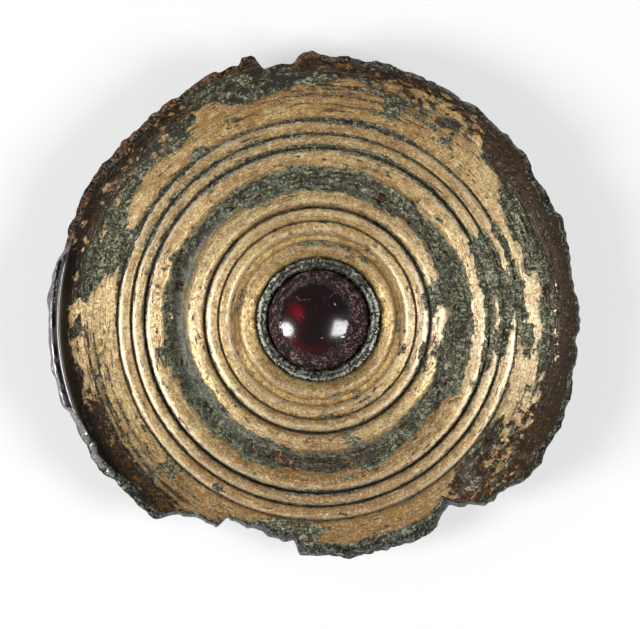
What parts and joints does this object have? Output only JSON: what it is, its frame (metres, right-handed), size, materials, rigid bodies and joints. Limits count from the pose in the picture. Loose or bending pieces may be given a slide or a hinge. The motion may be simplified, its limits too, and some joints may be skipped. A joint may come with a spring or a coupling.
{
  "type": "saucer brooch",
  "caption": "Cast disc brooch with turned concentric rings in an upturned broken rim, a collared domed stone at its centre, and a pin lug and catch on its back.",
  "frame": {"origin": "on the flat back of the disc, on the axis of the ring ornament", "axes": "+Z out of the decorated face, +Y from the catch towards the pin lug, +X to the right seen from the face"},
  "size_m": [0.0462, 0.0441, 0.0092],
  "materials": {
    "gilded_copper_alloy": "worn gilding, lost in patches to a dark brown and grey-green patina",
    "corroded_copper_alloy": "rough dark green corrosion with no gilding left",
    "garnet": "deep red polished dome with a rough abraded margin"
  },
  "bodies": {
    "root": {"saucer": "gilded_copper_alloy", "stone_collar": "corroded_copper_alloy", "garnet_cabochon": "garnet"}
  },
  "joints": []
}
